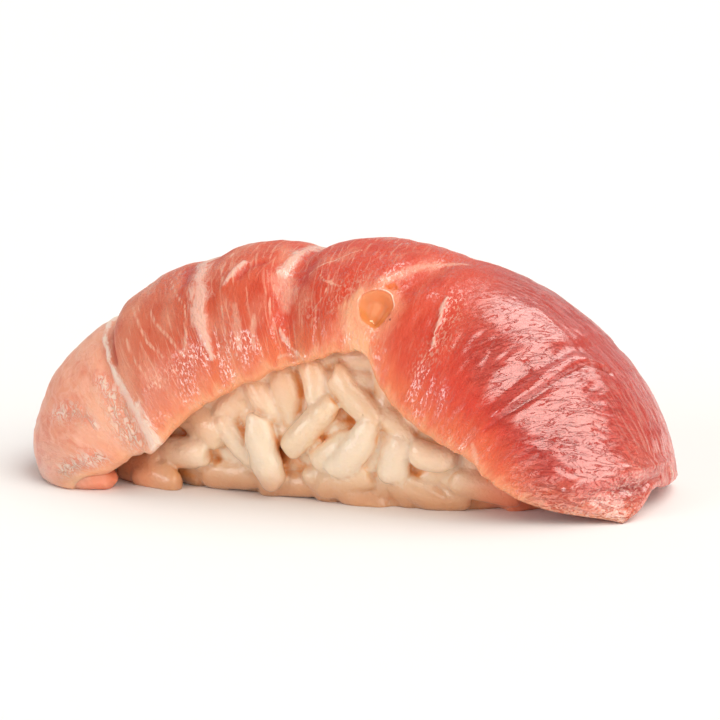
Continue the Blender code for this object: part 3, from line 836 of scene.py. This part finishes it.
# The rice: short-grain rice, cooked until each grain is plump, glossy and half see-through, then pressed by
# hand into a block in which the grains stick together. The large grains of the front lie as the real ones do.
# The rest are strewn over the block in two layers, and all are fused to each other where they touch.
CORE_CENTRE = (2.0, 0.2, 8.4)
CORE_HALF = (24.0, 10.6, 12.4)
CORE_POWERS = (3.0, 2.5)
HEART_INSET = 3.7
HEART_ROOM = 1.5
GRAIN_LENGTH = 7.4
GRAIN_WIDTH = 3.2
GRAIN_DEPTH = 2.7
GRAIN_SPREAD = 0.13
GRAIN_SEED = 5
GRAIN_DENT = 0.12
GRAIN_PROUD = 0.6
LOWEST_GRAIN = 0.6

# Each layer's depth under the outermost one, its tries and the least distance between two grains' middles.
GRAIN_LAYERS = ((0.0, 3000, 2.2), (1.9, 1500, 2.6))
VOXEL = 0.21
MOST_TRIANGLES = 185000


def core_surface(direction, inset=0.0):
    """The point of the rice core's surface that lies this way from its centre."""
    level, upright = CORE_POWERS
    ring = (abs(direction[0]) ** level + abs(direction[1]) ** level) ** (1 / level)
    size = (ring**upright + abs(direction[2]) ** upright) ** (1 / upright)
    reach = [part / size * (half - inset) for part, half in zip(direction, CORE_HALF)]
    return Vector(CORE_CENTRE) + Vector(reach)


def surface_tree(mesh):
    """A mesh's faces, ready to be asked how near a point they are."""
    return BVHTree.FromPolygons(
        [vertex.co.copy() for vertex in mesh.vertices], [tuple(face.vertices) for face in mesh.polygons]
    )


slice_tree = surface_tree(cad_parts["tuna_slice"].data)


def under_slice(spot, room):
    """A point moved down and in until it is this far inside the slice's lower face."""
    for _ in range(8):
        face, normal, _, gap = slice_tree.find_nearest(spot * MM)
        outward = (spot * MM - face).dot(normal) > 0
        if outward and gap >= room * MM:
            break
        spot = spot + (Vector(CORE_CENTRE) - spot).normalized() * 0.4
    return spot


bpy.ops.object.select_all(action="DESELECT")
bpy.ops.mesh.primitive_ico_sphere_add(subdivisions=5, radius=1.0, location=(0, 0, 0))
rice = bpy.context.object
rice.name = "rice_grains"
for vertex in rice.data.vertices:
    vertex.co = under_slice(core_surface(vertex.co, HEART_INSET), HEART_ROOM) * MM

# Large grains of the front: x, z, lean in degrees, length, and how far the middle is outside the core.
FRONT_GRAINS = (
    (-18.4, 3.6, 12, 7.2, 0.6), (-16.1, 1.7, -14, 7.4, 0.5), (-14.5, 4.1, 4, 7.4, 1.5),
    (-12.1, 7.6, -38, 7.2, 0.9), (-8.5, 10.4, 62, 8.2, 0.9), (-8.1, 5.9, -48, 7.4, 0.7),
    (-9.3, 1.8, 6, 8.4, 0.5), (-2.7, 11.3, -72, 7.8, 0.9), (-4.6, 5.3, -79, 8.6, 1.9),
    (-2.3, 1.5, 8, 7.4, 0.4), (0.5, 8.2, 49, 8.6, 1.6), (0.5, 12.8, -74, 5.6, 0.9),
    (-0.3, 15.0, 8, 6.6, 0.2), (3.3, 5.9, 36, 6.4, 1.2), (5.4, 11.2, -46, 8.6, 1.4),
    (8.2, 14.0, -58, 7.6, 0.7), (5.4, 6.3, 50, 8.2, 1.9), (1.3, 1.9, -62, 5.4, 0.8),
    (4.1, 3.0, 15, 7.2, 1.5), (5.7, 1.1, -28, 6.2, 1.5), (9.2, 9.0, -30, 7.2, 0.7),
    (9.7, 5.4, 78, 6.2, 1.3), (11.9, 2.3, -24, 6.8, 1.0), (13.7, 6.0, -12, 5.6, 1.7),
    (14.1, 1.0, 24, 6.4, 0.9), (18.7, 3.0, -14, 8.2, 1.2), (21.9, 1.2, -8, 7.4, 0.7),
    (-2.4, 3.6, 35, 7.0, -0.7), (3.6, 9.8, 20, 6.8, -0.7), (-1.9, 13.2, -85, 6.5, -0.5),
    (-12.6, 2.0, -22, 7.0, 0.2), (5.0, 15.5, -4, 6.4, 0.6), (8.3, 12.0, -80, 6.4, 0.2),
)


def surface_at(x, side, z):
    """The core's surface at x and z, on the front for a negative side, and the way it faces there."""
    level, upright = CORE_POWERS
    wide = (x - CORE_CENTRE[0]) / CORE_HALF[0]
    high = (z - CORE_CENTRE[2]) / CORE_HALF[2]
    ring = (1 - min(abs(high), 0.95) ** upright) ** (1 / upright)
    deep = max(ring**level - min(abs(wide), ring) ** level, 0.03) ** (1 / level)
    facing = Vector(
        (
            math.copysign(abs(wide) ** (level - 1) / CORE_HALF[0], wide),
            math.copysign(deep ** (level - 1) / CORE_HALF[1], side),
            math.copysign(abs(high) ** (upright - 1) / CORE_HALF[2], high),
        )
    )
    point = Vector((x, CORE_CENTRE[1] + math.copysign(deep * CORE_HALF[1], side), z))
    return point, facing.normalized()


def laid_axis(facing, lean):
    """The direction of a grain that lies on the surface and leans by this angle from level."""
    level = Vector((0, 0, 1)).cross(facing).normalized()
    if level.x < 0:
        level = -level
    rise = facing.cross(level)
    if rise.z < 0:
        rise = -rise
    return level * math.cos(lean) + rise * math.sin(lean)


def has_room(middle, axis, length):
    """Whether a grain lies clear of the slice, tried at five places along it."""
    for end in (-0.4, -0.2, 0.0, 0.2, 0.4):
        spot = (middle + axis * end * length) * MM
        face, normal, _, gap = slice_tree.find_nearest(spot)
        girth = GRAIN_DEPTH / 2 * math.sqrt(1 - (end / 0.56) ** 2)
        if gap < (girth + 0.1) * MM or (spot - face).dot(normal) < 0:
            return False
    return True


def seat(start, facing, axis, length, proud):
    """A grain's middle as far out of the core as asked, or as far as the slice leaves room."""
    for step in range(10):
        middle = start + facing * (proud - 0.3 * step)
        if has_room(middle, axis, length):
            return middle
    return None


def loose_directions(draw, count):
    """Directions from the core's centre, evenly spread between low ones and nearly upright ones."""
    for _ in range(count):
        height = draw.uniform(-0.7, 0.95)
        swing = draw.uniform(-math.pi, math.pi)
        flat = math.sqrt(1 - height * height)
        yield Vector((flat * math.cos(swing), flat * math.sin(swing), height))


# Grains tucked in behind the left foot, where the light comes through the flesh: x, y, z, lean, turn, length.
TUCKED_GRAINS = (
    (-20.2, -9.2, 1.6, 8, 22, 6.8),
    (-19.6, -8.4, 4.2, -18, 30, 6.4),
    (-22.0, -6.2, 2.2, 25, 60, 6.6),
    (-17.6, -10.4, 0.9, -6, 15, 6.6),
)


def lay(layer, start, facing, lean, length, proud, spacing=0.0):
    """Adds a grain to a layer, where the slice and the layer's other grains leave it room."""
    axis = laid_axis(facing, lean)
    middle = seat(start, facing, axis, length, proud)
    if middle is not None and all((middle - other[0]).length >= spacing for other in layer):
        layer.append((middle, axis, facing, length))


draw = random.Random(GRAIN_SEED)
laid = []
for x, z, lean, length, proud in FRONT_GRAINS:
    start, facing = surface_at(x, -1, z)
    lay(laid, start, facing, math.radians(lean), length, proud)
for x, y, z, lean, turn, length in TUCKED_GRAINS:
    facing = Vector((-math.sin(math.radians(turn)), -math.cos(math.radians(turn)), 0))
    lay(laid, Vector((x, y, z)), facing, math.radians(lean), length, 0.0)
for inset, tries, spacing in GRAIN_LAYERS:
    layer = laid if inset == 0 else []
    for direction in loose_directions(draw, tries):
        start = core_surface(direction, inset)
        if start.z < LOWEST_GRAIN:
            continue
        _, facing = surface_at(start.x, start.y - CORE_CENTRE[1], start.z)
        lean = draw.uniform(-math.pi / 2, math.pi / 2)
        length = GRAIN_LENGTH * draw.uniform(1 - GRAIN_SPREAD, 1 + GRAIN_SPREAD)
        lay(layer, start, facing, lean, length, draw.uniform(-GRAIN_PROUD, GRAIN_PROUD), spacing)
    if layer is not laid:
        laid = laid + layer

# One grain is modelled as a ball of a few dozen faces, subdivided once, and every other is a copy of it with
# its own length, girth, bend, notch and dents.
bpy.ops.object.select_all(action="DESELECT")
bpy.ops.mesh.primitive_uv_sphere_add(segments=8, ring_count=7, radius=1.0, location=(0, 0, 0))
first_grain = bpy.context.object
apply_modifier(first_grain, "finer", "SUBSURF", levels=1, render_levels=1)
ball = np.array([vertex.co[:] for vertex in first_grain.data.vertices])
ball /= np.linalg.norm(ball, axis=1, keepdims=True)
ball_end = np.sign(ball[:, 2]) * np.abs(ball[:, 2]) ** 0.9
ball_girth = (1 - np.abs(ball_end) ** 4.6) ** 0.5 / np.maximum(np.sqrt(1 - ball[:, 2] ** 2), 1e-3)
ball_girth = np.clip(ball_girth, 0, 1.9)


def shaped_grain(length, draw):
    """The ball drawn out to a grain with full sides and broken ends: bent, tapered, notched and dented."""
    width = GRAIN_WIDTH * draw.uniform(1 - GRAIN_SPREAD, 1 + GRAIN_SPREAD)
    depth = GRAIN_DEPTH * draw.uniform(1 - GRAIN_SPREAD, 1 + GRAIN_SPREAD)
    taper = 1 + draw.uniform(-0.15, 0.15) * ball_end
    bend = draw.uniform(-0.6, 0.6) * (ball_end**2 - 0.3)
    notch_side = draw.choice((-1, 1))
    notch = 0.32 * np.exp(-(((ball_end - 0.75) / 0.22) ** 2)) * np.clip(ball[:, 0] * notch_side, 0, 1)
    side = ball[:, 0] * ball_girth * taper * width / 2 * (1 - notch) + bend
    out = ball[:, 1] * ball_girth * taper * depth / 2
    shape = np.stack([ball_end * length / 2, side, out], axis=1)
    for end in (-1, 1):
        cut = length * draw.uniform(0.42, 0.50) + draw.uniform(-0.4, 0.4) * shape[:, 1]
        shape[:, 0] = end * np.minimum(end * shape[:, 0], cut)
    seed = draw.uniform(0, 100)
    dents = np.array([noise.noise(Vector(point) / 1.5 + Vector((seed, 0, 0))) for point in shape])
    return shape * (1 + GRAIN_DENT * dents[:, None])


grain_points, tones = [], []
bpy.ops.object.select_all(action="DESELECT")
for middle, axis, facing, length in laid:
    side = facing.cross(axis).normalized()
    turn = np.array([axis, side, axis.cross(side)])
    points = shaped_grain(length, draw) @ turn + np.array(middle)
    grain = first_grain.copy()
    grain.data = first_grain.data.copy()
    set_points(grain, points)
    bpy.context.scene.collection.objects.link(grain)
    grain.select_set(True)
    grain_points.append(points)
    tones.append(draw.random())
bpy.data.objects.remove(first_grain)
rice.select_set(True)
bpy.context.view_layer.objects.active = rice
bpy.ops.object.join()

# The grains and the heart of the block become one skin, which is cut flat where it stands on the board.
apply_modifier(rice, "stuck together", "REMESH", mode="VOXEL", voxel_size=VOXEL * MM)
apply_modifier(rice, "soft", "SMOOTH", factor=0.5, iterations=1)
bpy.ops.object.mode_set(mode="EDIT")
bpy.ops.mesh.select_all(action="SELECT")
bpy.ops.mesh.bisect(
    plane_co=(0, 0, BOARD_GAP * MM), plane_no=(0, 0, 1), use_fill=True, clear_inner=True, threshold=1e-6
)
bpy.ops.mesh.select_all(action="SELECT")
bpy.ops.mesh.separate(type="LOOSE")
bpy.ops.object.mode_set(mode="OBJECT")
shells = sorted(bpy.context.selected_objects, key=lambda shell: len(shell.data.vertices))
rice = shells.pop()
for shell in shells:
    bpy.data.objects.remove(shell)
rice.name = "rice_grains"
rice.data.name = "rice_grains"
triangles = sum(len(face.vertices) - 2 for face in rice.data.polygons)
bpy.context.view_layer.objects.active = rice
apply_modifier(rice, "fewer faces", "DECIMATE", ratio=min(1.0, MOST_TRIANGLES / triangles))
rice.data.shade_smooth()

# What the rice's material reads: each grain's own tone, how shut in a point is between the grains, for
# painted shade in the gaps, and how close the flesh is, for painted light from the flesh. Shut in is the
# share of rays that meet rice within this reach.
SHUT_IN_REACH = 2.6
TIGHT_REACH = 0.9
FLESH_LIGHT_REACH = 2.0
SIDES = (-1, 0, 1)
rice_tree = surface_tree(rice.data)
rays = [Vector((x, y, z)).normalized() for x in SIDES for y in SIDES for z in SIDES if x or y or z]


def shut_in(vertex):
    """How far a point is shut in, 0 to 1: within the wide reach, or within the tight one."""
    start = vertex.co + vertex.normal * 0.08 * MM
    tried = [ray for ray in rays if ray.dot(vertex.normal) > 0.25]
    gaps = [rice_tree.ray_cast(start, ray, SHUT_IN_REACH * MM)[3] for ray in tried]
    wide = sum(gap is not None for gap in gaps) / len(tried)
    tight = sum(gap is not None and gap < TIGHT_REACH * MM for gap in gaps) / len(tried)
    return max((wide - 0.25) / 0.6, (tight - 0.2) / 0.55)


def flesh_light_share(point):
    """How much painted light from the flesh a point of the rice takes: 1 where they touch."""
    return math.exp(-slice_tree.find_nearest(Vector(point) * MM)[3] / (FLESH_LIGHT_REACH * MM))


grain_tree = KDTree(sum(len(points) for points in grain_points))
for number, points in enumerate(grain_points):
    for point in points:
        grain_tree.insert(point, number)
grain_tree.balance()
skin = np.array([vertex.co[:] for vertex in rice.data.vertices]) / MM
grain_masks = {
    "tone": np.array([tones[grain_tree.find(point)[1]] for point in skin]),
    "gap_shade": ease(0, 1, np.array([shut_in(vertex) for vertex in rice.data.vertices])),
    "flesh_light": np.array([flesh_light_share(point) for point in skin]),
}
for name, mask in grain_masks.items():
    store_mask(rice, name, mask)


def cooked_rice():
    """Steamed short-grain rice dressed with vinegar: soft, moist and half see-through, with a satin gloss.

    Light spreads inside each grain, so its edges glow and its heart is whiter than its ends.
    """
    material, shader = new_material("steamed_rice")
    calculate, times, ramp, mix = node_tools(material)
    mask = read_masks(material, grain_masks)
    place = add_node(material, "TexCoord").outputs["Object"]
    split = add_node(material, "SeparateXYZ", {"Vector": place})
    aside = calculate("ABSOLUTE", calculate("SUBTRACT", split.outputs["X"], CORE_CENTRE[0] * MM))

    def between(value, low, high, share):
        """Up to this share, where the value passes from one length in mm to another."""
        return times(ramp(value, low * MM, high * MM), share)

    grain = mix(mask["tone"], colour("#ecd8bf"), colour("#e6c5a2"))
    # Painted light and shade: warmer towards the block's ends, darker tan towards the foot as shade, orange
    # at the ends under the hems for light through the flesh, the painted light near the flesh, and painted
    # shade in the gaps between grains.
    painted_light_and_shade = (
        (between(aside, 12, 21, 0.6), "#e9ac7e"),
        (between(split.outputs["Z"], 4.2, 0.3, 0.85), "#cf8a56"),
        (between(split.outputs["X"], -16, -20, 0.8), "#fb9a68"),
        (between(split.outputs["X"], 16, 22, 0.9), "#fb8058"),
        (times(mask["flesh_light"], 0.8), "#ffbd8e"),
        (times(mask["gap_shade"], 0.95), "#ea9848"),
    )
    for amount, code in painted_light_and_shade:
        grain = mix(amount, grain, colour(code))
    cloud = add_node(material, "TexNoise", {"Vector": place, "Scale": 500.0, "Detail": 3.0})
    grain = mix(times(cloud.outputs["Fac"], 0.15), grain, colour("#f4e6d2"))
    fine = add_node(material, "TexNoise", {"Vector": place, "Scale": 3200.0, "Detail": 2.0})
    bump = add_node(
        material, "Bump", {"Height": fine.outputs["Fac"], "Strength": 1.0, "Distance": 0.10 * MM}
    )
    fill_inputs(
        material, shader,
        {
            "Base Color": grain, "Normal": bump.outputs["Normal"], "Roughness": 0.3, "IOR": 1.4,
            "Subsurface Weight": 0.45, "Subsurface Radius": (1.0, 0.7, 0.42), "Subsurface Scale": 0.8 * MM,
            "Coat Weight": 0.8, "Coat Roughness": 0.12,
        },
    )
    return material


rice.data.materials.clear()
rice.data.materials.append(cooked_rice())
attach(rice, "root")
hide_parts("rice")
